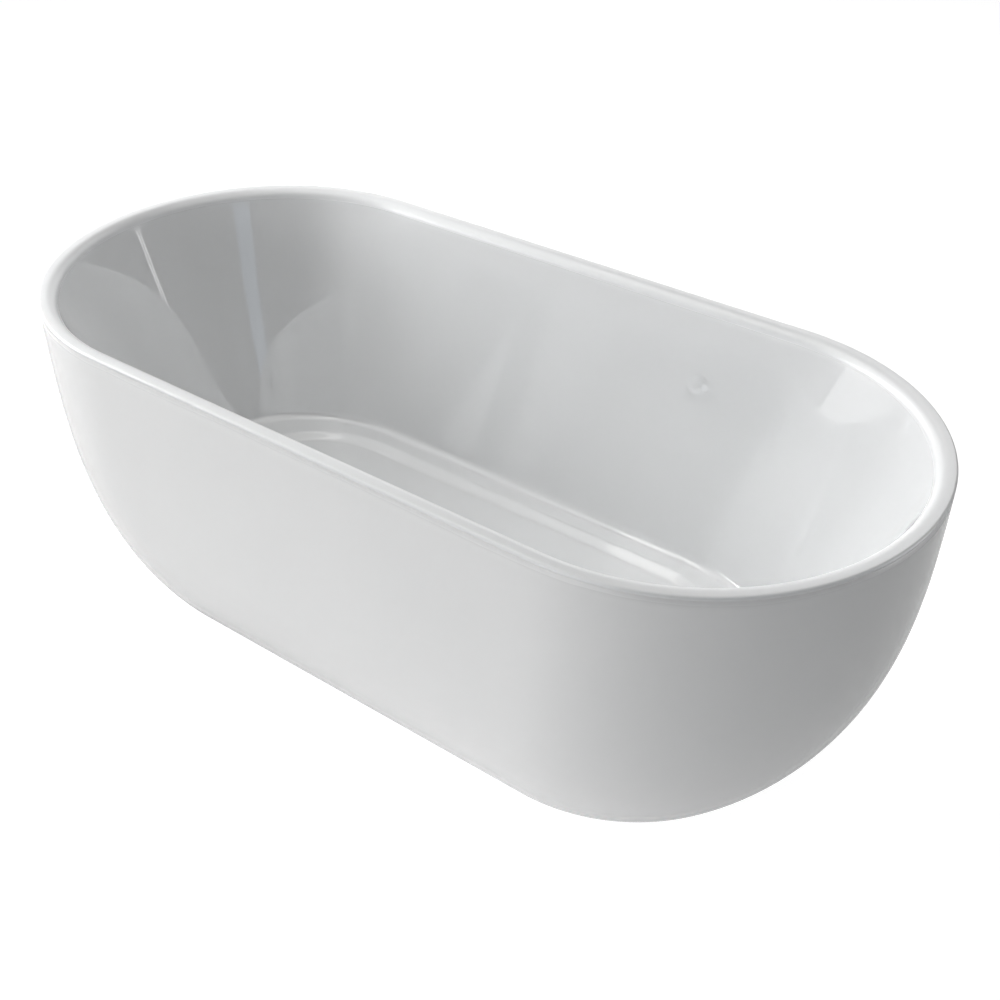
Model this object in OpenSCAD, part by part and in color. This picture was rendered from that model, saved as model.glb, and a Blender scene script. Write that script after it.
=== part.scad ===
// Freestanding double-skinned acrylic bath: a basin with a rolled rim, an outer skirt, a steel
// underframe on screw feet, a push-down waste and a side overflow.
// Millimetres. +X along the bath, +Y across it, +Z up. The origin is on the floor under the middle.

/* [Bath] */
// Overall length
bath_l = 1700; // [1650:10:1760]
// Overall width
bath_w = 800; // [780:5:830]
// Overall height
bath_h = 580; // [570:5:610]

/* [Rim] */
// Radius of the rim's outer edge
rim_outer_r = 4; // [3:0.5:4.5]
// Radius of the roll from the rim down into the basin
rim_inner_r = 20; // [16:1:24]
// Flat between the two radii
rim_flat = 9; // [6:0.5:12]

/* [Basin] */
// Thickness of the basin's reinforced acrylic
shell_t = 6; // [5:0.5:7]
// Height of the basin's floor above the ground, at the waste
floor_z = 134; // [130:1:142]
// Rise of the floor from the waste to the floor panel's edge
floor_fall = 4; // [3:1:6]
// Rise of the step from the floor panel up to the ledge
ledge_rise = 10; // [8:1:12]
// Width of that step
step_run = 30; // [24:1:36]
// Inset of the floor panel's edge at the bath's ends
panel_end_inset = 314; // [306:1:322]
// Inset of the floor panel's edge at the bath's sides
panel_side_inset = 242; // [236:1:246]
// Inset of the corner between ledge and wall at the bath's ends
crease_end_inset = 217; // [212:1:224]
// Inset of the corner between ledge and wall at the bath's sides
crease_side_inset = 176; // [172:1:180]
// Radius of the fillet in that corner
fillet_r = 22; // [18:1:24]
// How long the ends of the floor panel are for their width: 1 is a half circle
panel_stretch = 1.2; // [1:0.05:1.3]
// How long the ends of the wall's foot are for their width: 1 is a half circle
crease_stretch = 1.29; // [1:0.01:1.35]
// How straight the walls are: 1 is straight, and less curves them in towards the floor
wall_straight = 0.92; // [0.7:0.02:1]

/* [Skirt] */
// Thickness of the skirt
skirt_t = 5; // [4:0.5:6]
// How far the skirt tucks in at its foot, at the bath's ends
skirt_end_tuck = 170; // [150:5:180]
// How far the skirt tucks in at its foot, at the bath's sides
skirt_side_tuck = 93; // [85:1:98]
// Width of the flange that stands on the floor
skirt_flange_w = 25; // [20:1:30]
// Gap between rim and skirt, filled by the adhesive
bead_t = 0.8; // [0.6:0.1:1.5]

/* [Underframe] */
// Half the distance between the two long rails
rail_y = 140; // [132:1:142]
// Half the length of the long rails
rail_half_l = 520; // [500:5:530]
// Width of a rail
rail_w = 30; // [25:1:30]
// Height of a rail
rail_h = 20; // [18:1:20]
// Width and height of a crossmember
cross_w = 25; // [25:1:28]
// Wall of the steel tubes
tube_t = 2; // [1.5:0.5:2.5]
// Thickness of the board under the basin
board_t = 18; // [16:1:18]

/* [Feet] */
// Radius of a foot's threaded stud
stud_r = 6; // [5:0.5:7]
// Radius of a foot's pad
pad_r = 22; // [18:1:24]

/* [Waste] */
// Radius of the waste's chromed flange
flange_r = 35; // [33:0.5:37]
// Outer radius of the waste's threaded outlet
outlet_r = 23.9; // [23:0.1:24]

/* [Overflow] */
// Height of the overflow's centre
overflow_z = 482; // [476:1:486]
// Radius of the overflow's round cover
overflow_cover_r = 31; // [29:0.5:33]
// Outer radius of the overflow hose
hose_r = 14; // [13:0.5:14]

/* [Hidden] */
$fn = 64;

acrylic = [0.93, 0.93, 0.925];
chrome = [0.78, 0.79, 0.8];
rubber = [0.12, 0.12, 0.12];
black_plastic = [0.16, 0.16, 0.17];
steel = [0.55, 0.56, 0.57];
clear = 0.05;      // running clearance between a moving piece and its guide
eps = 0.5;         // overreach of a cutting tool

// ---- Closed rings of points round the bath -------------------------------------------------
arc_steps = 28;                       // straight steps along each round end
ring_n = 2 * (arc_steps + 1);         // points in a ring

// A stadium outline, inset from the bath's overall outline, at height z. Its ends are half
// circles, or half ellipses that are stretched along the bath.
function stadium(end_inset, side_inset, z, stretch = 1) =
    let (a = bath_l / 2 - end_inset, b = bath_w / 2 - side_inset, reach = stretch * b,
         c = a - reach)
    [for (side = [0, 1], i = [0:arc_steps])
        let (angle = -90 + 180 * side + 180 * i / arc_steps)
        [(side == 0 ? c : -c) + reach * cos(angle), b * sin(angle), z]];

// A circle about the Z axis with as many points, in step with a stadium's.
function circle_ring(r, z) =
    [for (i = [0:ring_n - 1])
        let (angle = -90 + 360 * (i + 0.5) / ring_n) [r * cos(angle), r * sin(angle), z]];

// Skin of a closed band of rings: each ring joins the next, and the last joins the first.
module ring_band(rings) {
    n = len(rings[0]);
    m = len(rings);
    function at(i, j) = (i % m) * n + (j % n);
    polyhedron(
        points = [for (r = rings, p = r) p],
        faces = [for (i = [0:m - 1], j = [0:n - 1])
            each [[at(i, j), at(i + 1, j + 1), at(i + 1, j)],
                  [at(i, j), at(i, j + 1), at(i + 1, j + 1)]]]);
}

// ---- Basin ---------------------------------------------------------------------------------
waste_hole_r = 26;                    // hole through the basin's floor
rough_hole_r = 20;                    // opening in the ring skin, before the hole is bored
waste_flat_r = 48;                    // level disc of floor round the waste
panel_z = floor_z + floor_fall;       // floor panel's edge
crease_z = panel_z + ledge_rise;      // top of the ledge
under_z = floor_z - shell_t - 1;      // flat underside of the floor
roll_centre = rim_outer_r + rim_flat;  // inset of the rim roll's centre
roll_z = bath_h - rim_inner_r;

// One side of the basin as a profile: the fillet at the wall's foot, the wall, and the rim's
// roll, which the wall leaves along its tangent. All angles are from the vertical.
function wall_slope(crease_inset) =
    (crease_inset - roll_centre - rim_inner_r) / (roll_z - crease_z);
function wall_top(crease_inset) =
    let (lean = atan(wall_straight * wall_slope(crease_inset)))
    [roll_centre + rim_inner_r * cos(lean), roll_z + rim_inner_r * sin(lean)];
function fillet_lean(crease_inset) = atan((2 - wall_straight) * wall_slope(crease_inset));
function fillet_inset(crease_inset) =
    crease_inset + fillet_r * tan(45 - fillet_lean(crease_inset) / 2);
function wall_foot(crease_inset) = crease_z + fillet_r * (1 - sin(fillet_lean(crease_inset)));

// Inset of the basin's face at height z, for the ends or for the sides.
function basin_inset(z, crease_inset) =
    let (top = wall_top(crease_inset), t = (top[1] - z) / (top[1] - crease_z))
    z < wall_foot(crease_inset)
        ? fillet_inset(crease_inset) - sqrt(max(0, pow(fillet_r, 2) - pow(crease_z + fillet_r - z, 2)))
    : t > 0
        ? top[0] + (crease_inset - top[0]) * t * (wall_straight + (1 - wall_straight) * t)
        : roll_centre + sqrt(max(0, pow(rim_inner_r, 2) - pow(z - roll_z, 2)));
function side_wall(z) = basin_inset(z, crease_side_inset);
function wall_stretch(z) =
    1 + (crease_stretch - 1) * min(max((roll_z - z) / (roll_z - crease_z), 0), 1);
function wall_ring(z, run = 0) =
    stadium(basin_inset(z, crease_end_inset) - run, side_wall(z) - run, z, wall_stretch(z));
function step_ring(t) =
    let (s = t * t * (3 - 2 * t))
    stadium(panel_end_inset - step_run * t, panel_side_inset - step_run * t,
            panel_z + ledge_rise * s, panel_stretch + (crease_stretch - panel_stretch) * t / 2);

// The face that holds the water, from the waste out to the rim's edge.
step_steps = 5;
fillet_steps = 4;
wall_steps = 9;
round_steps = 7;
low_foot = wall_foot(crease_end_inset);
function basin_front() = concat(
    [circle_ring(rough_hole_r, floor_z), circle_ring(waste_flat_r, floor_z)],
    [for (i = [0:step_steps]) step_ring(i / step_steps)],
    [for (i = [0:fillet_steps - 1])
        wall_ring(crease_z + (low_foot - crease_z) * pow(i / fillet_steps, 2))],
    [for (i = [0:wall_steps]) wall_ring(low_foot + (roll_z - low_foot) * i / wall_steps)],
    [for (i = [1:round_steps]) wall_ring(roll_z + rim_inner_r * sin(90 * i / round_steps))],
    [for (i = [0:round_steps])
        let (angle = 90 * i / round_steps, inset = rim_outer_r * (1 - sin(angle)))
        stadium(inset, inset, bath_h - rim_outer_r * (1 - cos(angle)))]);

// The hidden back, from the rim's lower edge down to the waste.
function basin_back() =
    let (back_r = rim_inner_r - shell_t, run = shell_t * 1.07, foot_z = crease_z - shell_t)
    concat(
    [stadium(0, 0, bath_h - shell_t)],
    [for (i = [0:3])
        let (angle = 90 - 30 * i, inset = roll_centre + back_r * cos(angle))
        stadium(inset, inset, roll_z + back_r * sin(angle))],
    [for (i = [1:wall_steps]) wall_ring(roll_z + (low_foot - roll_z) * i / wall_steps, run)],
    [stadium(crease_end_inset, crease_side_inset, foot_z, crease_stretch),
     stadium(panel_end_inset - step_run - shell_t, panel_side_inset - step_run - shell_t,
             foot_z, (panel_stretch + crease_stretch) / 2),
     stadium(panel_end_inset - shell_t, panel_side_inset - shell_t, under_z + shell_t / 2,
             panel_stretch),
     stadium(panel_end_inset + shell_t, panel_side_inset + shell_t, under_z, panel_stretch),
     circle_ring(waste_flat_r, under_z), circle_ring(rough_hole_r, under_z)]);

// ---- Skirt ---------------------------------------------------------------------------------
skirt_top = bath_h - shell_t - bead_t;
skirt_end_lean = 0.083;               // part of the tuck that is a straight lean, at the ends
skirt_end_power = 3.1;
skirt_side_power = 4.33;
skirt_foot_r = 4;                     // rounding where the skirt meets the floor
skirt_steps = 14;

function skirt_end(z) =
    let (v = (skirt_top - z) / skirt_top)
    skirt_end_tuck * (skirt_end_lean * v + (1 - skirt_end_lean) * pow(v, skirt_end_power));
function skirt_side(z) = skirt_side_tuck * pow((skirt_top - z) / skirt_top, skirt_side_power);

function skirt_rings() =
    let (out_top = skirt_top, out_foot = skirt_foot_r, in_foot = skirt_t)
    concat(
    [for (i = [0:skirt_steps])
        let (z = out_top + (out_foot - out_top) * sin(90 * i / skirt_steps))
        stadium(skirt_end(z), skirt_side(z), z)],
    [stadium(skirt_end(1) + 0.5, skirt_side(1) + 0.5, 1),
     stadium(skirt_end(0) + skirt_foot_r / 2, skirt_side(0) + skirt_foot_r / 2, 0),
     stadium(skirt_end(0) + skirt_flange_w, skirt_side(0) + skirt_flange_w, 0),
     stadium(skirt_end(0) + skirt_flange_w, skirt_side(0) + skirt_flange_w, skirt_t)],
    [for (i = [0:skirt_steps])
        let (z = in_foot + (out_top - in_foot) * (1 - cos(90 * i / skirt_steps)))
        stadium(skirt_end(z) + skirt_t, skirt_side(z) + skirt_t, z)]);

// ---- Underframe ----------------------------------------------------------------------------
board_z = under_z - board_t;
rail_z = board_z - rail_h;
cross_z = rail_z - cross_w;
cross_half_l = 221;
cross_x = [-440, 90, 440];            // the middle one stands beside the waste
foot_y = 190;
foot_at = [for (x = cross_x, y = [-foot_y, foot_y]) [x, y]];
board_half_l = 500;
board_half_w = 155;
board_hole_r = 45;
screw_r = 2.5;
screw_x = [-320, -120, 120, 320];
screw_bite = 12;                      // depth of a board screw in the board
bushing_r = 9;

// A closed rectangular tube along X, centred on the axis and standing on z = 0.
module tube_x(l, w, h) {
    translate([-l / 2, -w / 2, 0])
        difference() {
            cube([l, w, h]);
            translate([-eps, tube_t, tube_t])
                cube([l + 2 * eps, w - 2 * tube_t, h - 2 * tube_t]);
        }
}

module hex(across, h) {
    cylinder(r = across / sqrt(3), h = h, $fn = 6);
}

// A hexagon nut with its bore, standing on z = 0.
module hex_nut(across, h, bore) {
    difference() {
        hex(across, h);
        translate([0, 0, -eps]) cylinder(r = bore, h = h + 2 * eps);
    }
}

// A washer or gasket, standing on z = 0.
module washer(outer, inner, h) {
    difference() {
        cylinder(r = outer, h = h);
        translate([0, 0, -eps]) cylinder(r = inner, h = h + 2 * eps);
    }
}

module rail(y) {
    color(steel)
        difference() {
            translate([0, y, rail_z]) tube_x(2 * rail_half_l, rail_w, rail_h);
            for (x = screw_x)
                translate([x, y, rail_z - eps]) cylinder(r = screw_r, h = rail_h + 2 * eps);
        }
}

module crossmember(x) {
    color(steel)
        difference() {
            translate([x, 0, cross_z])
                rotate([0, 0, 90]) tube_x(2 * cross_half_l, cross_w, cross_w);
            for (y = [-foot_y, foot_y])
                translate([x, y, cross_z - eps]) cylinder(r = bushing_r, h = cross_w + 2 * eps);
        }
}

module base_board() {
    color([0.72, 0.58, 0.4])
        difference() {
            translate([0, 0, board_z])
                union() {
                    translate([board_half_w - board_half_l, -board_half_w, 0])
                        cube([2 * (board_half_l - board_half_w), 2 * board_half_w, board_t]);
                    for (side = [-1, 1])
                        translate([side * (board_half_l - board_half_w), 0, 0])
                            cylinder(r = board_half_w, h = board_t);
                }
            translate([0, 0, board_z - eps]) cylinder(r = board_hole_r, h = board_t + 2 * eps);
            for (x = screw_x, y = [-rail_y, rail_y])
                translate([x, y, board_z - eps]) cylinder(r = screw_r, h = screw_bite + eps);
        }
}

module board_screws() {
    head_r = 5;
    head_h = 3;
    color(steel)
        for (x = screw_x, y = [-rail_y, rail_y])
            translate([x, y, rail_z]) {
                cylinder(r = screw_r, h = rail_h + screw_bite);
                translate([0, 0, -head_h])
                    rotate_extrude()
                        polygon([[0, 0], [head_r - 1.4, 0], [head_r, head_h], [0, head_h]]);
            }
}

// Plastic plugs in the open tube ends.
module tube_end_caps() {
    cap_t = 3;
    plug_l = 12;
    color(black_plastic) {
        for (x = [-1, 1], y = [-rail_y, rail_y])
            translate([x * rail_half_l, y, rail_z + rail_h / 2])
                rotate([0, 90 * x, 0]) end_cap(rail_h, rail_w, cap_t, plug_l);
        for (y = [-1, 1])
            translate([cross_x[1], y * cross_half_l, cross_z + cross_w / 2])
                rotate([-90 * y, 0, 0]) end_cap(cross_w, cross_w, cap_t, plug_l);
    }
}

module end_cap(a, b, cap_t, plug_l) {
    inner_a = a - 2 * tube_t;
    inner_b = b - 2 * tube_t;
    translate([-a / 2, -b / 2, 0]) cube([a, b, cap_t]);
    translate([-inner_a / 2, -inner_b / 2, -plug_l]) cube([inner_a, inner_b, plug_l]);
}

// ---- Feet ----------------------------------------------------------------------------------
pad_h = 16;
stud_hex_h = 8;
stud_socket = 8;                      // depth of the stud in its pad
stud_top = cross_z + cross_w + 16;
nut_h = 7;
nut_across = 19;

module foot_bushings() {
    color(steel)
        for (p = foot_at)
            translate([p.x, p.y, cross_z]) washer(bushing_r, stud_r + clear, cross_w);
}

module foot_lock_nuts() {
    color(steel)
        for (p = foot_at)
            translate([p.x, p.y, cross_z - nut_h]) hex_nut(nut_across, nut_h, stud_r + clear);
}

module foot_pad(p) {
    color(black_plastic)
        translate([p.x, p.y, 0])
            difference() {
                rotate_extrude()
                    polygon([[0, 0], [pad_r - 1.5, 0], [pad_r, 1.5], [pad_r, 5],
                             [pad_r - 3, 7], [stud_r + 5, 9], [stud_r + 4, pad_h], [0, pad_h]]);
                translate([0, 0, pad_h - stud_socket]) cylinder(r = stud_r, h = stud_socket + eps);
            }
}

module foot_stud(p) {
    color(chrome)
        translate([p.x, p.y, 0]) {
            translate([0, 0, pad_h - stud_socket])
                cylinder(r = stud_r, h = stud_top - pad_h + stud_socket);
            translate([0, 0, pad_h]) hex(nut_across - 4, stud_hex_h);
        }
}

// ---- Brackets between underframe and skirt --------------------------------------------------
bracket_t = 3;
bracket_w = 30;
bracket_reach = 66;
bracket_hole_y = 60;                  // centre of the foot screw's hole
foot_screw_l = 4;                     // bite of that screw in the skirt's flange
side_screw_l = 12;                    // bite of the other screw in its insert
bracket_x = [cross_x[0], cross_x[2]];

// Puts its children at each bracket: +Y points out to the skirt, and z = 0 is on the floor.
module at_brackets() {
    for (x = bracket_x, side = [0, 1])
        translate([x, (1 - 2 * side) * cross_half_l, 0])
            rotate([0, 0, 180 * side]) children();
}

module skirt_brackets() {
    color(steel)
        at_brackets()
            difference() {
                union() {
                    translate([-bracket_w / 2, 0, skirt_t])
                        cube([bracket_w, bracket_t, cross_z + cross_w - skirt_t]);
                    translate([-bracket_w / 2, 0, skirt_t])
                        cube([bracket_w, bracket_reach, bracket_t]);
                }
                translate([0, bracket_t + eps, cross_z + cross_w / 2])
                    rotate([90, 0, 0]) cylinder(r = screw_r, h = bracket_t + 2 * eps);
                translate([0, bracket_hole_y, skirt_t - eps])
                    cylinder(r = screw_r, h = bracket_t + 2 * eps);
            }
}

// Threaded plugs in the ends of the outer crossmembers, which take the brackets' screws.
module bracket_inserts() {
    insert_l = 18;
    insert_w = cross_w - 2 * tube_t;
    color(black_plastic)
        at_brackets()
            difference() {
                translate([-insert_w / 2, -insert_l, cross_z + tube_t])
                    cube([insert_w, insert_l, insert_w]);
                translate([0, eps, cross_z + cross_w / 2])
                    rotate([90, 0, 0]) cylinder(r = screw_r, h = insert_l + 2 * eps);
            }
}

module bracket_screws() {
    color(chrome)
        at_brackets() {
            translate([0, bracket_t, cross_z + cross_w / 2])
                rotate([-90, 0, 0]) pan_screw(screw_r, bracket_t + side_screw_l);
            translate([0, bracket_hole_y, skirt_t + bracket_t])
                pan_screw(screw_r, bracket_t + foot_screw_l);
        }
}

// A pan-head screw: its shank runs down from z = 0, and its head stands above.
module pan_screw(r, l) {
    head_r = 2 * r;
    head_h = 1.3 * r;
    rotate_extrude()
        polygon([[0, -l], [r - 0.5, -l], [r, 0.5 - l], [r, 0], [head_r, 0],
                 [head_r, head_h / 2], [head_r - 1.5, head_h], [0, head_h]]);
}

// ---- Waste and plug ------------------------------------------------------------------------
seal_t = 1.5;
flange_z = floor_z + seal_t;          // underside of the flange
flange_t = 3;
tail_r = 22;                          // outside of the flange's tail
tail_bore = 19;
tail_bottom = under_z - 27;
housing_top = under_z - 2;            // below its own seal
housing_flange_r = 36;
housing_r = 27;
port_z = 72;                          // centre of the hose's side port
spigot_r = hose_r - 3;                // outside of a hose spigot
spigot_bore = spigot_r - 2.5;
port_end = -62;                       // end of the side port's spigot, in Y
thread_l = 38;                        // length of the threaded outlet
outlet_bottom = 12;
outlet_top = outlet_bottom + thread_l;

module waste_flange() {
    seat_r = flange_r - 7.5;
    color(chrome)
        rotate_extrude()
            polygon([[tail_bore, tail_bottom], [tail_r, tail_bottom], [tail_r, flange_z],
                     [flange_r - 0.8, flange_z], [flange_r, flange_z + 0.7],
                     [flange_r - 0.6, flange_z + 1.8], [flange_r - 4, flange_z + flange_t],
                     [seat_r, flange_z + flange_t], [tail_bore + 1.5, flange_z + 0.2],
                     [tail_bore, flange_z - 2]]);
}

module flange_seal() {
    color(rubber)
        translate([0, 0, floor_z]) washer(flange_r - 2, tail_r + 0.3, seal_t);
}

module housing_seal() {
    color(rubber)
        translate([0, 0, housing_top]) washer(housing_flange_r - 1, tail_r + 0.3, under_z - housing_top);
}

// Body under the basin: it takes the flange's tail from above and the overflow hose from the side.
module waste_housing() {
    wall = 4;
    chamber_r = housing_r - wall;
    outlet_bore = outlet_r - 3.9;
    color(black_plastic)
        difference() {
            union() {
                rotate_extrude()
                    polygon([[0, outlet_bottom], [outlet_r, outlet_bottom], [outlet_r, outlet_top],
                             [housing_r, outlet_top + 2], [housing_r, housing_top - 6],
                             [housing_flange_r, housing_top - 4], [housing_flange_r, housing_top],
                             [0, housing_top]]);
                translate([0, 0, port_z])
                    rotate([90, 0, 0]) cylinder(r = spigot_r, h = -port_end);
            }
            rotate_extrude()
                polygon([[0, outlet_bottom - eps], [outlet_bore, outlet_bottom - eps],
                         [outlet_bore, outlet_top + 2], [chamber_r, outlet_top + 6],
                         [chamber_r, tail_bottom - 3], [tail_r, tail_bottom - 2],
                         [tail_r, housing_top + eps], [0, housing_top + eps]]);
            translate([0, 0, port_z])
                rotate([90, 0, 0]) cylinder(r = spigot_bore, h = eps - port_end);
        }
}

stem_r = 4;
plug_travel = 8;
cap_r = flange_r - 4;
cap_z = flange_z + flange_t + 0.5 + plug_travel;   // underside of the open plug's cap
spring_seat = floor_z - 24;
collar_z = floor_z - 8;
spring_wire_r = 0.6;
spring_r = 5.3;
cartridge_r = 9;
counterbore_r = 6.6;

// Centre guide of the plug, on three spokes in the flange's tail.
module plug_cartridge() {
    cartridge_bottom = tail_bottom + 4;
    cartridge_top = collar_z - 1;
    spoke_h = 7;
    spoke_w = 3;
    color(black_plastic)
        difference() {
            union() {
                translate([0, 0, cartridge_bottom])
                    cylinder(r = cartridge_r, h = cartridge_top - cartridge_bottom);
                for (i = [0:2])
                    rotate([0, 0, 90 + 120 * i])
                        translate([cartridge_r - 2, -spoke_w / 2, cartridge_bottom])
                            cube([tail_bore - cartridge_r + 1.8, spoke_w, spoke_h]);
            }
            translate([0, 0, cartridge_bottom - eps])
                cylinder(r = stem_r + clear, h = cartridge_top - cartridge_bottom + 2 * eps);
            translate([0, 0, spring_seat])
                cylinder(r = counterbore_r, h = cartridge_top - spring_seat + eps);
        }
}

spring_turns = 5;
spring_steps = 12;                    // rings in a turn
spring_sides = 6;

// A compression spring between the cartridge's seat and the stem's collar.
module plug_spring() {
    bottom = spring_seat + spring_wire_r + 0.1;
    rise = collar_z - spring_seat - 2 * spring_wire_r - 0.2;
    rings = [for (i = [0:spring_turns * spring_steps])
        let (angle = 360 * i / spring_steps,
             z = bottom + rise * i / (spring_turns * spring_steps))
        [for (j = [0:spring_sides - 1])
            let (side = 360 * j / spring_sides, r = spring_r + spring_wire_r * cos(side))
            [r * cos(angle), r * sin(angle), z + spring_wire_r * sin(side)]]];
    color(steel) tube_skin(rings);
}

// Skin of an open tube of rings, closed by a flat face at each end.
module tube_skin(rings) {
    n = len(rings[0]);
    m = len(rings);
    polyhedron(
        points = [for (r = rings, p = r) p],
        faces = concat(
            [[for (j = [0:n - 1]) n - 1 - j]],
            [[for (j = [0:n - 1]) (m - 1) * n + j]],
            [for (i = [0:m - 2], j = [0:n - 1])
                let (k = (j + 1) % n)
                each [[i * n + j, i * n + n + k, i * n + n + j],
                      [i * n + j, i * n + k, i * n + n + k]]]));
}

module plug_stem() {
    stem_bottom = tail_bottom - 6;
    collar_t = 2;
    color(chrome)
        rotate_extrude()
            polygon([[0, stem_bottom], [stem_r - 0.6, stem_bottom], [stem_r, stem_bottom + 0.6],
                     [stem_r, collar_z], [spring_r + 0.8, collar_z],
                     [spring_r + 0.8, collar_z + collar_t], [stem_r, collar_z + collar_t],
                     [stem_r, cap_z], [0, cap_z]]);
}

cap_seal_t = 2.5;

module plug_seal() {
    color(rubber)
        translate([0, 0, cap_z - cap_seal_t])
            washer(flange_r - 13.2, stem_r, cap_seal_t);
}

module plug_cap() {
    edge_h = 2.5;
    crown_h = 3;
    sphere_r = (cap_r * cap_r + crown_h * crown_h) / (2 * crown_h);
    crown_steps = 8;
    color(chrome)
        rotate_extrude()
            polygon(concat(
                [[0, cap_z], [cap_r - 0.8, cap_z], [cap_r, cap_z + 0.8]],
                [for (i = [0:crown_steps])
                    let (r = cap_r * cos(90 * i / crown_steps))
                    [r, cap_z + edge_h + crown_h - sphere_r + sqrt(sphere_r * sphere_r - r * r)]]));
}

// ---- Overflow ------------------------------------------------------------------------------
wall_out = side_wall(overflow_z);     // inset of the basin's face at the overflow
wall_tilt = atan(side_wall(overflow_z - 1) - side_wall(overflow_z));
wall_depth = (shell_t * 1.07) * cos(wall_tilt);      // basin's thickness, square to its face
overflow_hole_r = 24;
overflow_flange_r = 30;
overflow_seal_t = 2;
elbow_front = -wall_depth - overflow_seal_t;
elbow_flange_t = 4;
chamber_depth = 24;
chamber_z = elbow_front - elbow_flange_t - chamber_depth / 2;    // centre of the elbow's outlet
spigot_end = 50;
screw_hole_r = 2.5;

// Places its children at the overflow: +Z points square out of the near wall into the basin,
// and +Y points down along the wall.
module at_overflow() {
    translate([0, wall_out - bath_w / 2, overflow_z])
        rotate([wall_tilt - 90, 0, 0]) children();
}

module overflow_cover() {
    cover_h = 9;
    cover_t = 2;
    slot_w = 34;
    slot_h = 5;
    gap = 0.6;
    color(chrome)
        at_overflow()
            difference() {
                translate([0, 0, gap])
                    rotate_extrude()
                        polygon([[overflow_cover_r - cover_t, 0], [overflow_cover_r, 0],
                                 [overflow_cover_r, cover_h - 2], [overflow_cover_r - 0.6, cover_h - 0.6],
                                 [overflow_cover_r - 2, cover_h], [screw_hole_r, cover_h],
                                 [screw_hole_r, cover_h - cover_t],
                                 [overflow_cover_r - cover_t, cover_h - cover_t]]);
                translate([-slot_w / 2, overflow_cover_r - 15, -eps])
                    cube([slot_w, 30, slot_h + eps]);
            }
}

module overflow_screw() {
    reach = 26;
    color(chrome)
        at_overflow()
            translate([0, 0, 9.6]) pan_screw(screw_hole_r, reach);
}

module overflow_wall_seal() {
    color(rubber)
        at_overflow()
            translate([0, 0, elbow_front])
                washer(overflow_flange_r, overflow_hole_r, overflow_seal_t);
}

// Chamber behind the wall, with a boss for the screw and a spigot that points down.
module overflow_elbow() {
    back_t = 3;
    chamber_r = 25;
    inner_r = 22;
    boss_r = 6;
    back_z = elbow_front - elbow_flange_t - chamber_depth;
    color(black_plastic)
        at_overflow()
            difference() {
                union() {
                    rotate_extrude()
                        polygon([[0, back_z], [chamber_r - 2, back_z], [chamber_r, back_z + 2],
                                 [chamber_r, elbow_front - elbow_flange_t],
                                 [overflow_flange_r, elbow_front - elbow_flange_t],
                                 [overflow_flange_r, elbow_front], [inner_r, elbow_front],
                                 [inner_r, back_z + back_t], [boss_r, back_z + back_t],
                                 [boss_r, elbow_front - 6], [0, elbow_front - 6]]);
                    translate([0, inner_r + 1, chamber_z])
                        rotate([-90, 0, 0])
                            cylinder(r = spigot_r, h = spigot_end - inner_r - 1);
                }
                translate([0, inner_r - 1, chamber_z])
                    rotate([-90, 0, 0])
                        cylinder(r = spigot_bore, h = spigot_end - inner_r + 1 + eps);
                translate([0, 0, back_z + back_t])
                    cylinder(r = screw_hole_r, h = chamber_depth);
            }
}

// The hose lies in the plane x = 0: straight down from the elbow, round one bend, and straight
// to the waste. Lengths are worked out from where the two spigots are.
hose_bend_r = 110;
spigot_grip = 15;                     // length of hose on a spigot
hose_start_along = spigot_end - spigot_grip;
hose_start = [wall_out - bath_w / 2 + hose_start_along * sin(wall_tilt) + chamber_z * cos(wall_tilt),
              overflow_z - hose_start_along * cos(wall_tilt) + chamber_z * sin(wall_tilt)];
hose_drop = hose_start[1] - port_z - hose_bend_r * (1 - sin(wall_tilt));
bend_y = hose_start[0] + hose_drop * tan(wall_tilt) + hose_bend_r * cos(wall_tilt);
hose_end = port_end + spigot_grip;

hose_sides = 16;
bend_steps = 8;

// Stations along the hose: Y, Z, and the heading as an angle from +Y towards +Z.
hose_stations = concat(
    [[hose_start[0], hose_start[1], wall_tilt - 90]],
    [for (i = [0:bend_steps])
        let (heading = (wall_tilt - 90) * (1 - i / bend_steps))
        [bend_y + hose_bend_r * sin(heading),
         port_z + hose_bend_r * (1 - cos(heading)), heading]],
    [[hose_end, port_z, 0]]);

function hose_ring(station, r) =
    [for (j = [0:hose_sides - 1])
        let (angle = 360 * j / hose_sides)
        [r * cos(angle), station[0] - r * sin(angle) * sin(station[2]),
         station[1] + r * sin(angle) * cos(station[2])]];

module overflow_hose() {
    n = len(hose_stations);
    bore = (spigot_r + 0.02) / cos(180 / hose_sides);
    color([0.75, 0.75, 0.74])
        ring_band(concat(
            [for (i = [0:n - 1]) hose_ring(hose_stations[i], hose_r)],
            [for (i = [0:n - 1]) hose_ring(hose_stations[n - 1 - i], bore)]));
}

nut_l = 16;
hose_nut_across = 2 * hose_r + 6;

module hose_nut_upper() {
    color(black_plastic)
        at_overflow()
            translate([0, spigot_end - spigot_grip, chamber_z])
                rotate([-90, 0, 0]) hex_nut(hose_nut_across, nut_l, hose_r);
}

module hose_nut_lower() {
    color(black_plastic)
        translate([0, hose_end, port_z])
            rotate([90, 0, 0]) hex_nut(hose_nut_across, nut_l, hose_r);
}

// ---- Shells --------------------------------------------------------------------------------
module tub_shell() {
    color(acrylic)
        difference() {
            ring_band(concat(basin_front(), basin_back()));
            translate([0, 0, under_z - eps])
                cylinder(r = waste_hole_r, h = shell_t + 1 + 2 * eps);
            at_overflow()
                translate([0, 0, -wall_depth - 3])
                    cylinder(r = overflow_hole_r, h = wall_depth + 6);
        }
}

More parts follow.
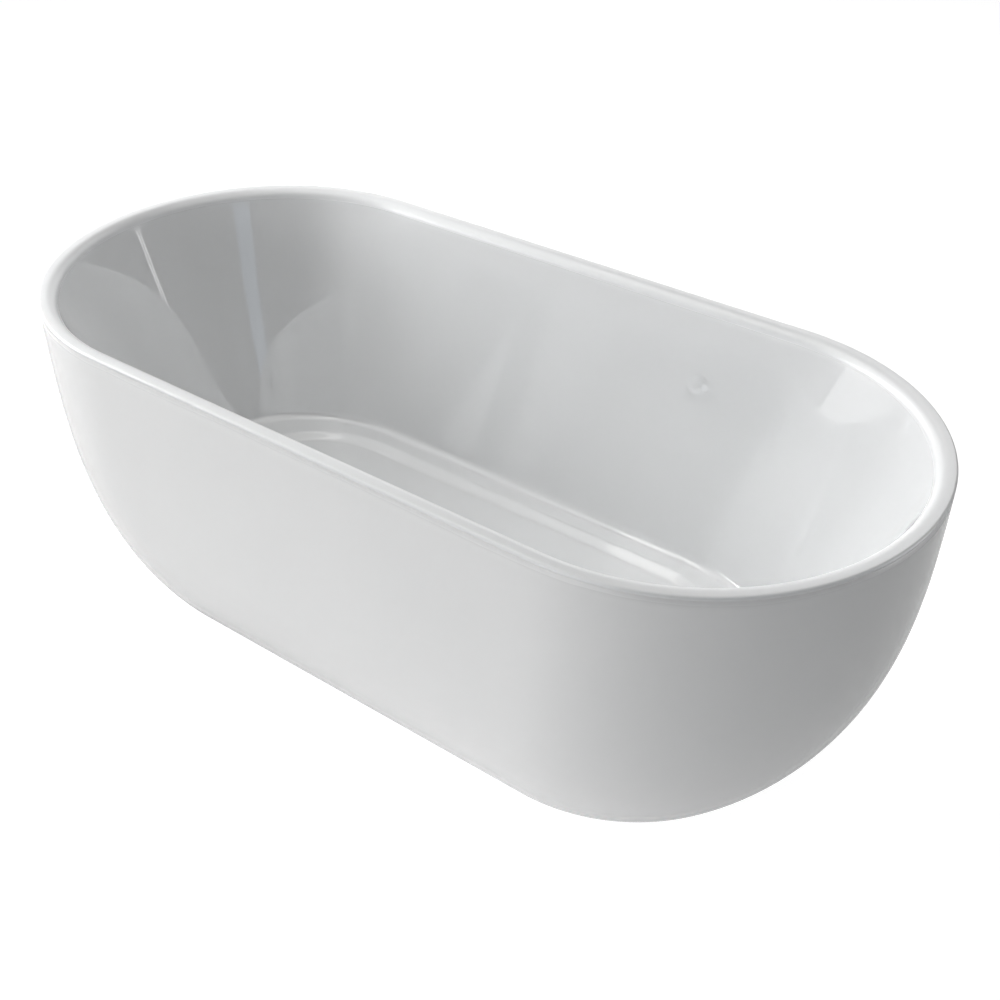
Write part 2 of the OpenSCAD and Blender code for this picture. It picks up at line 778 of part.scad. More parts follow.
module outer_skirt() {
    color(acrylic)
        difference() {
            ring_band(skirt_rings());
            at_brackets()
                translate([0, bracket_hole_y, skirt_t - foot_screw_l])
                    cylinder(r = screw_r, h = foot_screw_l + eps);
        }
}

module rim_adhesive() {
    bead_in = 0.2;
    bead_w = skirt_t - 2 * bead_in;
    rim_under = bath_h - shell_t;
    color(acrylic)
        ring_band([stadium(bead_in, bead_in, rim_under), stadium(bead_in, bead_in, skirt_top),
                   stadium(bead_in + bead_w, bead_in + bead_w, skirt_top),
                   stadium(bead_in + bead_w, bead_in + bead_w, rim_under)]);
}

tub_shell();
outer_skirt();
rim_adhesive();
base_board();
board_screws();
rail(-rail_y);  // frame_rail_front
rail(rail_y);  // frame_rail_rear
crossmember(cross_x[0]);  // crossmember_left
crossmember(cross_x[1]);  // crossmember_middle
crossmember(cross_x[2]);  // crossmember_right
tube_end_caps();
foot_bushings();
foot_lock_nuts();
skirt_brackets();
bracket_inserts();
bracket_screws();
waste_flange();
flange_seal();
housing_seal();
waste_housing();
plug_cartridge();
plug_spring();
plug_cap();
plug_seal();
plug_stem();
overflow_cover();
overflow_screw();
overflow_wall_seal();
overflow_elbow();
overflow_hose();
hose_nut_upper();
hose_nut_lower();
for (i = [0:len(foot_at) - 1]) {
    foot_pad(foot_at[i]);
    foot_stud(foot_at[i]);
}
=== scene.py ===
"""Looks of a freestanding acrylic bath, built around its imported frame. Metres, +Z up."""
import math

import bmesh
import bpy
from mathutils import Matrix, Vector


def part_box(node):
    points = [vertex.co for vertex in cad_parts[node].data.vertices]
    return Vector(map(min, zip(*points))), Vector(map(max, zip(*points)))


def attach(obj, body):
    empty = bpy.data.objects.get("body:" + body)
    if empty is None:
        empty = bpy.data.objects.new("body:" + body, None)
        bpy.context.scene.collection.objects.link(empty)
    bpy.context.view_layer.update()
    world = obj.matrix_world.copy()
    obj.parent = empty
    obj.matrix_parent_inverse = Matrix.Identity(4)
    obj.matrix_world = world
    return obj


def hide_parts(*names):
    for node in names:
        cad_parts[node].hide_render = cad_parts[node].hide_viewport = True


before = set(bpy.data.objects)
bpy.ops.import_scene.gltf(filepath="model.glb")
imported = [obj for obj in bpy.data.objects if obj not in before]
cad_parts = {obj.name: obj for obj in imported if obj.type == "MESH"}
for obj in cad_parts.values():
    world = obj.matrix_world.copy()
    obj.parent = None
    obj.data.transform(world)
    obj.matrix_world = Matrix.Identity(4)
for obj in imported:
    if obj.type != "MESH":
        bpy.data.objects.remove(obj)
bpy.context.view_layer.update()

MM = 0.001

# ---- Sizes, from the frame ------------------------------------------------------------------
shell_low, shell_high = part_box("tub_shell")
skirt_low, skirt_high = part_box("outer_skirt")
bead_low, bead_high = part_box("rim_adhesive")
HALF_L = shell_high.x
HALF_W = shell_high.y
TOP = shell_high.z
SKIRT_TOP = skirt_high.z
RIM_UNDER = bead_high.z
UNDER = shell_low.z

SHELL_T = 6 * MM
WALL_T = SHELL_T * 1.07                # the shell's thickness, level through the leaning wall
SKIRT_T = 5 * MM
FLOOR_Z = UNDER + SHELL_T + 1 * MM
PANEL_Z = FLOOR_Z + 4 * MM
CREASE_Z = PANEL_Z + 10 * MM
PANEL_INSET = (314 * MM, 242 * MM)     # at the ends, at the sides
CREASE_INSET = (217 * MM, 176 * MM)
STEP_RUN = 30 * MM
PANEL_STRETCH = 1.2                    # length of an outline's ends for their width
CREASE_STRETCH = 1.29
RIM_OUTER_R = 4 * MM
RIM_FLAT = 9 * MM
RIM_INNER_R = 20 * MM
ROLL_CENTRE = RIM_OUTER_R + RIM_FLAT
ROLL_Z = TOP - RIM_INNER_R
SKIRT_TUCK = (170 * MM, 93 * MM)
WASTE_HOLE_R = 26 * MM
WASTE_FLAT_R = 48 * MM

ARC_STEPS = 72
STRAIGHT_STEPS = 28
RING = 2 * (ARC_STEPS + STRAIGHT_STEPS)


# ---- Mesh helpers ---------------------------------------------------------------------------
def stadium(end_inset, side_inset, z, stretch=1.0):
    """A ring of points: a stadium outline, inset from the bath's overall outline. Its ends are
    half circles, or half ellipses that are stretched along the bath."""
    a = HALF_L - end_inset
    b = HALF_W - side_inset
    reach = stretch * b
    c = a - reach
    points = []
    for side in (1, -1):
        for i in range(ARC_STEPS):
            angle = math.pi * (i / ARC_STEPS - 0.5)
            points.append(Vector((side * (c + reach * math.cos(angle)),
                                  side * b * math.sin(angle), z)))
        for i in range(STRAIGHT_STEPS):
            x = c * (1 - 2 * i / STRAIGHT_STEPS)
            points.append(Vector((side * x, side * b, z)))
    return points


def circle(radius, z):
    """A ring of points about the Z axis, in step with a stadium's."""
    points = []
    for i in range(RING):
        angle = 2 * math.pi * ((i + STRAIGHT_STEPS / 2) / RING - 0.25)
        points.append(Vector((radius * math.cos(angle), radius * math.sin(angle), z)))
    return points


def mix_rings(one, two, t, z):
    return [Vector((p.x + (q.x - p.x) * t, p.y + (q.y - p.y) * t, z)) for p, q in zip(one, two)]


def smoothstep(t):
    return t * t * (3 - 2 * t)


def new_object(name, mesh):
    piece = bpy.data.objects.new(name, mesh)
    bpy.context.scene.collection.objects.link(piece)
    return piece


def mark_sharp(mesh, degrees):
    """Smooth shading, with hard edges where two faces meet at more than the angle."""
    bm = bmesh.new()
    bm.from_mesh(mesh)
    limit = math.radians(degrees)
    for face in bm.faces:
        face.smooth = True
    for edge in bm.edges:
        edge.smooth = edge.is_boundary or edge.calc_face_angle(0) < limit
    bm.to_mesh(mesh)
    bm.free()


def band_mesh(name, rings, materials, slot_of_ring, sharp=50):
    """A closed skin: each ring joins the next, and the last joins the first."""
    n = len(rings[0])
    count = len(rings)
    verts = [p for ring in rings for p in ring]
    faces = []
    slots = []
    for i in range(count):
        k = (i + 1) % count
        for j in range(n):
            m = (j + 1) % n
            faces.append((i * n + j, k * n + j, k * n + m, i * n + m))
            slots.append(slot_of_ring(i))
    mesh = bpy.data.meshes.new(name)
    mesh.from_pydata(verts, [], faces)
    for material in materials:
        mesh.materials.append(material)
    mesh.polygons.foreach_set("material_index", slots)
    mark_sharp(mesh, sharp)
    return mesh


def lathe_mesh(name, profile, material, steps=96, sharp=35):
    """A closed (radius, z) outline turned about the Z axis; points on the axis are shared."""
    bm = bmesh.new()
    rings = []
    for radius, z in profile:
        if radius < 1e-7:
            rings.append([bm.verts.new((0, 0, z))])
            continue
        rings.append([bm.verts.new((radius * math.cos(2 * math.pi * i / steps),
                                    radius * math.sin(2 * math.pi * i / steps), z))
                      for i in range(steps)])
    for one, two in zip(rings, rings[1:] + rings[:1]):
        if len(one) == 1 and len(two) == 1:
            continue
        for i in range(steps):
            k = (i + 1) % steps
            corners = [one[i % len(one)], two[i % len(two)], two[k % len(two)], one[k % len(one)]]
            bm.faces.new([v for n, v in enumerate(corners) if v not in corners[:n]])
    bmesh.ops.recalc_face_normals(bm, faces=bm.faces)
    mesh = bpy.data.meshes.new(name)
    bm.to_mesh(mesh)
    bm.free()
    mesh.materials.append(material)
    mark_sharp(mesh, sharp)
    return mesh


def arc(centre_r, centre_z, radius, start, end, steps=5):
    """Points of an arc in the (radius, z) plane, between two angles in degrees."""
    return [(centre_r + radius * math.cos(math.radians(start + (end - start) * i / steps)),
             centre_z + radius * math.sin(math.radians(start + (end - start) * i / steps)))
            for i in range(steps + 1)]


def box_mesh(low, high):
    """A plain box between two corners, to cut with."""
    bm = bmesh.new()
    bmesh.ops.create_cube(bm, size=1)
    for v in bm.verts:
        v.co = Vector([low[i] if v.co[i] < 0 else high[i] for i in range(3)])
    mesh = bpy.data.meshes.new("tool")
    bm.to_mesh(mesh)
    bm.free()
    return mesh


def rod_mesh(radius, length, steps=64):
    """A plain rod along Z, centred on the origin, to cut with."""
    bm = bmesh.new()
    bmesh.ops.create_cone(bm, cap_ends=True, segments=steps, radius1=radius, radius2=radius,
                          depth=length)
    mesh = bpy.data.meshes.new("tool")
    bm.to_mesh(mesh)
    bm.free()
    return mesh


def cut(mesh, name, tool_mesh):
    """The mesh less a tool's shape, as a new mesh."""
    piece = new_object(name, mesh)
    tool = new_object(name + "_tool", tool_mesh)
    modifier = piece.modifiers.new("cut", "BOOLEAN")
    modifier.operation = "DIFFERENCE"
    modifier.solver = "EXACT"
    modifier.object = tool
    bpy.context.view_layer.update()
    result = bpy.data.meshes.new_from_object(
        piece.evaluated_get(bpy.context.evaluated_depsgraph_get()))
    bpy.data.objects.remove(piece)
    bpy.data.objects.remove(tool)
    return result


def stand_in(name, mesh, node, body="bath"):
    """Puts a mesh in the scene in place of one CAD node."""
    piece = new_object(name, mesh)
    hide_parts(node)
    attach(piece, body)


# ---- Materials ------------------------------------------------------------------------------
class Shader:
    """A small helper that builds one node material."""

    def __init__(self, name, color, roughness, metallic=0.0, ior=1.5, specular=0.5):
        self.material = bpy.data.materials.new(name)
        self.material.use_nodes = True
        self.tree = self.material.node_tree
        self.bsdf = self.tree.nodes["Principled BSDF"]
        self.bsdf.inputs["Base Color"].default_value = (*color, 1)
        self.bsdf.inputs["Roughness"].default_value = roughness
        self.bsdf.inputs["Metallic"].default_value = metallic
        self.bsdf.inputs["IOR"].default_value = ior
        self.bsdf.inputs["Specular IOR Level"].default_value = specular
        self.place = self.add("ShaderNodeTexCoord").outputs["Object"]
        self.normal = None

    def add(self, kind, **values):
        node = self.tree.nodes.new(kind)
        for key, value in values.items():
            setattr(node, key, value)
        return node

    def link(self, source, target):
        self.tree.links.new(source, target)

    def stretched(self, scale):
        mapping = self.add("ShaderNodeMapping")
        mapping.inputs["Scale"].default_value = scale
        self.link(self.place, mapping.inputs["Vector"])
        return mapping.outputs["Vector"]

    def noise(self, scale, detail=2.0, rough=0.5, stretch=None):
        node = self.add("ShaderNodeTexNoise")
        node.inputs["Scale"].default_value = scale
        node.inputs["Detail"].default_value = detail
        node.inputs["Roughness"].default_value = rough
        self.link(self.stretched(stretch) if stretch else self.place, node.inputs["Vector"])
        return node.outputs["Fac"]

    def voronoi(self, scale, feature="F1", output="Distance", stretch=None):
        node = self.add("ShaderNodeTexVoronoi", feature=feature)
        node.inputs["Scale"].default_value = scale
        self.link(self.stretched(stretch) if stretch else self.place, node.inputs["Vector"])
        return node.outputs[output]

    def ramp(self, source, low, high, low_value, high_value):
        node = self.add("ShaderNodeMapRange")
        node.inputs["From Min"].default_value = low
        node.inputs["From Max"].default_value = high
        node.inputs["To Min"].default_value = low_value
        node.inputs["To Max"].default_value = high_value
        self.link(source, node.inputs["Value"])
        return node.outputs["Result"]

    def colors(self, source, stops):
        node = self.add("ShaderNodeValToRGB")
        elements = node.color_ramp.elements
        while len(elements) < len(stops):
            elements.new(0.5)
        for element, (position, color) in zip(elements, stops):
            element.position = position
            element.color = (*color, 1)
        self.link(source, node.inputs["Fac"])
        self.link(node.outputs["Color"], self.bsdf.inputs["Base Color"])
        return node.outputs["Color"]

    def roughness(self, source, low, high, low_value, high_value):
        self.link(self.ramp(source, low, high, low_value, high_value), self.bsdf.inputs["Roughness"])

    def bump(self, source, distance, strength=1.0):
        node = self.add("ShaderNodeBump")
        node.inputs["Strength"].default_value = strength
        node.inputs["Distance"].default_value = distance
        self.link(source, node.inputs["Height"])
        if self.normal:
            self.link(self.normal, node.inputs["Normal"])
        self.normal = node.outputs["Normal"]
        self.link(self.normal, self.bsdf.inputs["Normal"])


def acrylic_material(name, cool, ior, rough, rim_rough):
    """White cast acrylic: a faintly uneven tone under a polished face, buffed duller at the rim."""
    shader = Shader(name, (0.9, 0.903, 0.905), rough, ior=ior, specular=0.75)
    wave = shader.noise(9, detail=1.0)
    peel = shader.noise(240, detail=2.0)
    haze = shader.noise(4, detail=3.0)
    shader.colors(haze, [(0.3, (0.897 - cool, 0.9, 0.9 + cool)),
                         (0.7, (0.906 - cool, 0.908, 0.908 + cool))])
    split = shader.add("ShaderNodeSeparateXYZ")
    shader.link(shader.place, split.inputs[0])
    dull = shader.ramp(split.outputs["Z"], TOP - 30 * MM, TOP - 12 * MM, 0, rim_rough - rough)
    total = shader.add("ShaderNodeMath")
    shader.link(shader.ramp(haze, 0.3, 0.7, rough * 0.8, rough * 1.2), total.inputs[0])
    shader.link(dull, total.inputs[1])
    shader.link(total.outputs[0], shader.bsdf.inputs["Roughness"])
    shader.bump(wave, 0.4 * MM, 0.2)
    shader.bump(peel, 0.01 * MM, 0.35)
    return shader.material


def laminate_material():
    """Sprayed glass fibre and resin on the hidden faces."""
    shader = Shader("glass_fibre", (0.62, 0.6, 0.52), 0.45)
    strands = shader.noise(90, detail=6.0, rough=0.7, stretch=(1, 0.35, 1))
    lumps = shader.noise(18, detail=3.0)
    shader.colors(strands, [(0.35, (0.5, 0.49, 0.42)), (0.65, (0.7, 0.68, 0.61))])
    shader.roughness(lumps, 0.3, 0.7, 0.32, 0.6)
    shader.bump(lumps, 2.5 * MM, 0.6)
    shader.bump(strands, 0.6 * MM, 0.8)
    return shader.material


def chrome_material():
    shader = Shader("chrome", (0.72, 0.73, 0.74), 0.06, metallic=1.0)
    haze = shader.noise(70, detail=4.0)
    wipes = shader.noise(700, detail=2.0, stretch=(1, 0.04, 1))
    shader.colors(haze, [(0.3, (0.69, 0.7, 0.71)), (0.7, (0.76, 0.77, 0.78))])
    shader.roughness(haze, 0.3, 0.7, 0.03, 0.1)
    shader.bump(wipes, 0.01 * MM, 0.4)
    return shader.material


def galvanised_material():
    """Hot-dipped zinc: angular spangles with their own tone, over a faintly uneven coat."""
    shader = Shader("galvanised_steel", (0.5, 0.51, 0.52), 0.4, metallic=1.0)
    spangle = shader.voronoi(110, output="Color", stretch=(1, 0.8, 1))
    drips = shader.noise(14, detail=3.0)
    tone = shader.add("ShaderNodeSeparateXYZ")
    shader.link(spangle, tone.inputs[0])
    shader.colors(tone.outputs[0], [(0.1, (0.42, 0.43, 0.45)), (0.5, (0.52, 0.53, 0.54)),
                                    (0.9, (0.63, 0.64, 0.65))])
    shader.roughness(tone.outputs[1], 0.0, 1.0, 0.3, 0.52)
    shader.bump(drips, 0.3 * MM, 0.4)
    shader.bump(shader.voronoi(110, feature="DISTANCE_TO_EDGE"), 0.03 * MM, 0.4)
    return shader.material


def zinc_material():
    """Bright zinc plate with a thin yellow and blue passivation film."""
    shader = Shader("zinc_plate", (0.66, 0.65, 0.6), 0.24, metallic=1.0)
    film = shader.noise(45, detail=3.0)
    grain = shader.noise(1500, detail=2.0)
    shader.colors(film, [(0.3, (0.6, 0.62, 0.66)), (0.5, (0.68, 0.67, 0.62)),
                         (0.72, (0.7, 0.62, 0.42))])
    shader.roughness(grain, 0.3, 0.7, 0.18, 0.34)
    shader.bump(grain, 0.02 * MM, 0.5)
    return shader.material


def plywood_material():
    """Birch plywood: long veneer figure on the faces, thin alternate plies on the edges."""
    shader = Shader("plywood", (0.62, 0.46, 0.28), 0.6)
    figure = shader.noise(9, detail=5.0, rough=0.6, stretch=(0.12, 1, 1))
    pores = shader.noise(420, detail=2.0, stretch=(0.05, 1, 0.4))
    split = shader.add("ShaderNodeSeparateXYZ")
    shader.link(shader.place, split.inputs[0])
    plies = shader.add("ShaderNodeMath", operation="PINGPONG")
    plies.inputs[1].default_value = 1.4 * MM
    shader.link(split.outputs["Z"], plies.inputs[0])
    ply = shader.ramp(plies.outputs[0], 0.55 * MM, 0.85 * MM, 0.0, 1.0)
    faces = shader.add("ShaderNodeValToRGB")
    faces.color_ramp.elements[0].color = (0.5, 0.34, 0.19, 1)
    faces.color_ramp.elements[0].position = 0.32
    faces.color_ramp.elements[1].color = (0.7, 0.54, 0.36, 1)
    faces.color_ramp.elements[1].position = 0.66
    shader.link(figure, faces.inputs["Fac"])
    geometry = shader.add("ShaderNodeNewGeometry")
    side = shader.add("ShaderNodeSeparateXYZ")
    shader.link(geometry.outputs["True Normal"], side.inputs[0])
    upright = shader.add("ShaderNodeMath", operation="ABSOLUTE")
    shader.link(side.outputs["Z"], upright.inputs[0])
    on_edge = shader.add("ShaderNodeMath", operation="LESS_THAN")
    on_edge.inputs[1].default_value = 0.5
    shader.link(upright.outputs[0], on_edge.inputs[0])
    dark = shader.add("ShaderNodeMath", operation="MULTIPLY")
    shader.link(on_edge.outputs[0], dark.inputs[0])
    shader.link(ply, dark.inputs[1])
    tint = shader.add("ShaderNodeMix", data_type="RGBA", blend_type="MULTIPLY")
    tint.inputs["B"].default_value = (0.52, 0.42, 0.34, 1)
    shader.link(dark.outputs[0], tint.inputs["Factor"])
    shader.link(faces.outputs["Color"], tint.inputs["A"])
    shader.link(tint.outputs["Result"], shader.bsdf.inputs["Base Color"])
    shader.roughness(figure, 0.3, 0.7, 0.5, 0.72)
    shader.bump(pores, 0.1 * MM, 0.6)
    return shader.material


def plastic_material(name, color, roughness=0.42):
    """Moulded plastic with a fine spark texture and faint flow marks."""
    shader = Shader(name, color, roughness)
    grain = shader.noise(1300, detail=2.0)
    flow = shader.noise(22, detail=3.0, stretch=(1, 1, 0.3))
    shader.colors(flow, [(0.3, tuple(0.85 * c for c in color)),
                         (0.7, tuple(1.2 * c for c in color))])
    shader.roughness(flow, 0.3, 0.7, roughness - 0.08, roughness + 0.1)
    shader.bump(grain, 0.04 * MM, 0.6)
    return shader.material


def rubber_material():
    shader = Shader("rubber", (0.022, 0.022, 0.023), 0.75)
    bloom = shader.noise(35, detail=5.0)
    grain = shader.noise(900, detail=3.0)
    shader.colors(bloom, [(0.35, (0.018, 0.018, 0.019)), (0.75, (0.045, 0.045, 0.046))])
    shader.roughness(bloom, 0.3, 0.7, 0.62, 0.85)
    shader.bump(grain, 0.05 * MM, 0.6)
    return shader.material


POLISHED_ACRYLIC = acrylic_material("polished_acrylic", 0.005, 1.9, 0.03, 0.34)
SATIN_ACRYLIC = acrylic_material("satin_acrylic", 0.0, 1.49, 0.13, 0.3)
LAMINATE = laminate_material()
CHROME = chrome_material()
GALVANISED = galvanised_material()
ZINC = zinc_material()
PLYWOOD = plywood_material()
BLACK_PLASTIC = plastic_material("black_plastic", (0.028, 0.028, 0.03))
HOSE_PLASTIC = plastic_material("grey_hose", (0.42, 0.43, 0.44), 0.38)
RUBBER = rubber_material()


# ---- Basin ----------------------------------------------------------------------------------
WALL_STRAIGHT = 0.92                   # the wall's slope at the top for its mean slope
FILLET_R = 22 * MM
OVERFLOW_Z = 482 * MM
OVERFLOW_HOLE_R = 24 * MM


class Side:
    """One side of the basin as a profile: the fillet at the wall's foot, the wall, and the rim's
    roll, which the wall leaves along its tangent."""

    def __init__(self, crease_inset):
        slope = (crease_inset - ROLL_CENTRE - RIM_INNER_R) / (ROLL_Z - CREASE_Z)
        lean = math.atan(WALL_STRAIGHT * slope)
        self.top_inset = ROLL_CENTRE + RIM_INNER_R * math.cos(lean)
        self.top = ROLL_Z + RIM_INNER_R * math.sin(lean)
        lean = math.atan((2 - WALL_STRAIGHT) * slope)
        self.crease_inset = crease_inset
        self.fillet_inset = crease_inset + FILLET_R * math.tan(math.pi / 4 - lean / 2)
        self.foot = CREASE_Z + FILLET_R * (1 - math.sin(lean))

    def inset(self, z):
        """Inset of the basin's face at height z."""
        if z < self.foot:
            rise = CREASE_Z + FILLET_R - z
            return self.fillet_inset - math.sqrt(max(FILLET_R ** 2 - rise ** 2, 0))
        t = (self.top - z) / (self.top - CREASE_Z)
        if t < 0:
            return ROLL_CENTRE + math.sqrt(max(RIM_INNER_R ** 2 - (z - ROLL_Z) ** 2, 0))
        return self.top_inset + (self.crease_inset - self.top_inset) * t * (
            WALL_STRAIGHT + (1 - WALL_STRAIGHT) * t)


END = Side(CREASE_INSET[0])
FLANK = Side(CREASE_INSET[1])


def wall_ring(z, run=0.0):
    """A ring of the wall at height z, moved out by a distance."""
    stretch = 1 + (CREASE_STRETCH - 1) * min(max((ROLL_Z - z) / (ROLL_Z - CREASE_Z), 0), 1)
    return stadium(END.inset(z) - run, FLANK.inset(z) - run, z, stretch)


def step_ring(t):
    """A ring of the step, from the floor panel's edge at 0 to the ledge at 1."""
    return stadium(PANEL_INSET[0] - STEP_RUN * t, PANEL_INSET[1] - STEP_RUN * t,
                   PANEL_Z + (CREASE_Z - PANEL_Z) * smoothstep(t),
                   PANEL_STRETCH + (CREASE_STRETCH - PANEL_STRETCH) * t / 2)


def front_rings():
    """Rings from the floor panel's edge up over the rim and down its edge."""
    step_steps = 14
    ledge_steps = 4
    fillet_steps = 10
    wall_steps = 34
    round_steps = 14
    edge_steps = 8
    rings = [step_ring(i / step_steps) for i in range(step_steps + 1)]
    ledge = wall_ring(CREASE_Z)
    for i in range(1, ledge_steps):
        rings.append(mix_rings(step_ring(1), ledge, i / ledge_steps, CREASE_Z))
    for i in range(fillet_steps):
        rings.append(wall_ring(CREASE_Z + (END.foot - CREASE_Z) * (i / fillet_steps) ** 2))
    for i in range(wall_steps + 1):
        rings.append(wall_ring(END.foot + (ROLL_Z - END.foot) * i / wall_steps))
    for i in range(1, round_steps + 1):
        rings.append(wall_ring(ROLL_Z + RIM_INNER_R * math.sin(0.5 * math.pi * i / round_steps)))
    for i in range(edge_steps + 1):
        angle = 0.5 * math.pi * i / edge_steps
        inset = RIM_OUTER_R * (1 - math.sin(angle))
        rings.append(stadium(inset, inset, TOP - RIM_OUTER_R * (1 - math.cos(angle))))
    chamfer = 0.2 * MM
    rings.append(stadium(0, 0, RIM_UNDER + chamfer))
    rings.append(stadium(chamfer, chamfer, RIM_UNDER))
    return rings


def back_rings():
    """Rings of the hidden face, from the rim's edge down to the flat underside."""
    rings = []
    back_r = RIM_INNER_R - SHELL_T
    for i in range(5):
        angle = math.radians(90 - 22.5 * i)
        inset = ROLL_CENTRE + back_r * math.cos(angle)
        rings.append(stadium(inset, inset, ROLL_Z + back_r * math.sin(angle)))
    wall_steps = 18
    for i in range(1, wall_steps + 1):
        rings.append(wall_ring(ROLL_Z + (END.foot - ROLL_Z) * i / wall_steps, WALL_T))
    rings.append(stadium(*CREASE_INSET, CREASE_Z - SHELL_T, CREASE_STRETCH))
    for run, z, stretch in ((-STEP_RUN - SHELL_T, CREASE_Z - SHELL_T,
                             (PANEL_STRETCH + CREASE_STRETCH) / 2),
                            (-SHELL_T, UNDER + SHELL_T / 2, PANEL_STRETCH),
                            (SHELL_T, UNDER, PANEL_STRETCH)):
        rings.append(stadium(PANEL_INSET[0] + run, PANEL_INSET[1] + run, z, stretch))
    return rings


def basin_rings():
    panel = step_ring(0)
    drain = circle(WASTE_FLAT_R, FLOOR_Z)
    floor = [circle(WASTE_HOLE_R, FLOOR_Z), circle(38 * MM, FLOOR_Z), drain]
    floor_steps = 10
    for i in range(1, floor_steps):
        t = i / floor_steps
        floor.append(mix_rings(drain, panel, t, FLOOR_Z + (PANEL_Z - FLOOR_Z) * smoothstep(t)))
    front = floor + front_rings()
    back = back_rings()
    edge = back[-1]
    plate = circle(WASTE_FLAT_R, UNDER)
    for i in range(1, 4):
        back.append(mix_rings(edge, plate, i / 4, UNDER))
    back += [plate, circle(WASTE_HOLE_R, UNDER)]
    return front, back


def make_basin():
    front, back = basin_rings()
    mesh = band_mesh("basin", front + back, [POLISHED_ACRYLIC, LAMINATE],
                     lambda i: 0 if i < len(front) else 1)
    centre, out = overflow_axis()
    bore = rod_mesh(OVERFLOW_HOLE_R, 40 * MM)
    bore.transform(Matrix.Translation(centre) @ out.to_track_quat("Z", "Y").to_matrix().to_4x4())
    mesh = cut(mesh, "basin", bore)
    mark_sharp(mesh, 50)
    stand_in("basin", mesh, "tub_shell")


def overflow_axis():
    """Centre of the overflow on the wall's face, and the unit vector out of the wall."""
    inset = FLANK.inset(OVERFLOW_Z)
    tilt = math.atan((FLANK.inset(OVERFLOW_Z - MM) - inset) / MM)
    return Vector((0, inset - HALF_W, OVERFLOW_Z)), Vector((0, math.cos(tilt), math.sin(tilt)))


# ---- Skirt ----------------------------------------------------------------------------------
END_LEAN = 0.083
END_POWER = 3.1
SIDE_POWER = 4.33
FOOT_R = 4 * MM


def skirt_insets(z):
    v = (SKIRT_TOP - z) / SKIRT_TOP
    return (SKIRT_TUCK[0] * (END_LEAN * v + (1 - END_LEAN) * v ** END_POWER),
            SKIRT_TUCK[1] * v ** SIDE_POWER)


def skirt_rings():
    rings = []
    chamfer = 0.4 * MM
    rings.append(stadium(chamfer, chamfer, SKIRT_TOP))
    steps = 56
    for i in range(steps + 1):
        z = (SKIRT_TOP - chamfer) + (FOOT_R - SKIRT_TOP + chamfer) * math.sin(0.5 * math.pi * i / steps)
        rings.append(stadium(*skirt_insets(z), z))
    foot = skirt_insets(0)
    for i in range(1, 6):
        angle = 0.5 * math.pi * i / 5
        z = FOOT_R * (1 - math.sin(angle))
        tuck = skirt_insets(z)
        run = FOOT_R * 0.6 * (1 - math.cos(angle))
        rings.append(stadium(tuck[0] + run, tuck[1] + run, z))
    outside = len(rings)
    flange = 25 * MM
    rings.append(stadium(foot[0] + flange, foot[1] + flange, 0))
    rings.append(stadium(foot[0] + flange, foot[1] + flange, SKIRT_T))
    for i in range(25):
        z = SKIRT_T + (SKIRT_TOP - SKIRT_T) * (1 - math.cos(0.5 * math.pi * i / 24))
        tuck = skirt_insets(z)
        rings.append(stadium(tuck[0] + SKIRT_T, tuck[1] + SKIRT_T, z))
    return rings, outside


def make_skirt():
    rings, outside = skirt_rings()
    mesh = band_mesh("skirt", rings, [SATIN_ACRYLIC, LAMINATE],
                     lambda i: 0 if i < outside or i == len(rings) - 1 else 1)
    stand_in("skirt", mesh, "outer_skirt")


def make_bead():
    recess = 0.1 * MM
    inner = SKIRT_T - recess
    rings = [stadium(recess, recess, bead_high.z), stadium(recess, recess, bead_low.z),
             stadium(inner, inner, bead_low.z), stadium(inner, inner, bead_high.z)]
    mesh = band_mesh("rim_seam", rings, [SATIN_ACRYLIC], lambda i: 0)
    stand_in("rim_seam", mesh, "rim_adhesive")


# ---- Waste and plug --------------------------------------------------------------------------
def make_waste_flange():
    low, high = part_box("waste_flange")
    outer = high.x
    top = high.z
    under = top - 3 * MM
    bore = 19 * MM
    tail = 22 * MM
    profile = [(bore, low.z), (tail - 0.5 * MM, low.z), (tail, low.z + 0.5 * MM), (tail, under),
               (outer - 0.9 * MM, under)]
    profile += arc(outer - 0.9 * MM, under + 0.9 * MM, 0.9 * MM, -90, 25)
    profile += arc(outer - 4.5 * MM, top - 2.6 * MM, 2.6 * MM, 60, 90, 4)
    profile += arc(outer - 7.5 * MM, top - 0.8 * MM, 0.8 * MM, 90, 150, 4)
    profile += [(bore + 1.5 * MM, under + 0.3 * MM), (bore + 0.5 * MM, under - 0.8 * MM),
                (bore, under - 2 * MM)]
    stand_in("drain_flange", lathe_mesh("drain_flange", profile, CHROME), "waste_flange")


def make_plug_cap():
    low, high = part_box("plug_cap")
    outer = high.x
    crown = 3 * MM
    ball = (outer ** 2 + crown ** 2) / (2 * crown)
    profile = [(0, low.z), (outer - 1.2 * MM, low.z)]
    profile += arc(outer - 1 * MM, low.z + 1 * MM, 1 * MM, -80, 0, 4)
    profile += [(outer, low.z + 2 * MM), (outer - 0.25 * MM, low.z + 2.75 * MM)]
    for i in range(1, 13):
        radius = (outer - 0.25 * MM) * math.cos(0.5 * math.pi * i / 12)
        profile.append((radius, high.z - ball + math.sqrt(ball ** 2 - radius ** 2)))
    profile[-1] = (0, high.z)
    stand_in("drain_plug", lathe_mesh("drain_plug", profile, CHROME), "plug_cap", "plug")


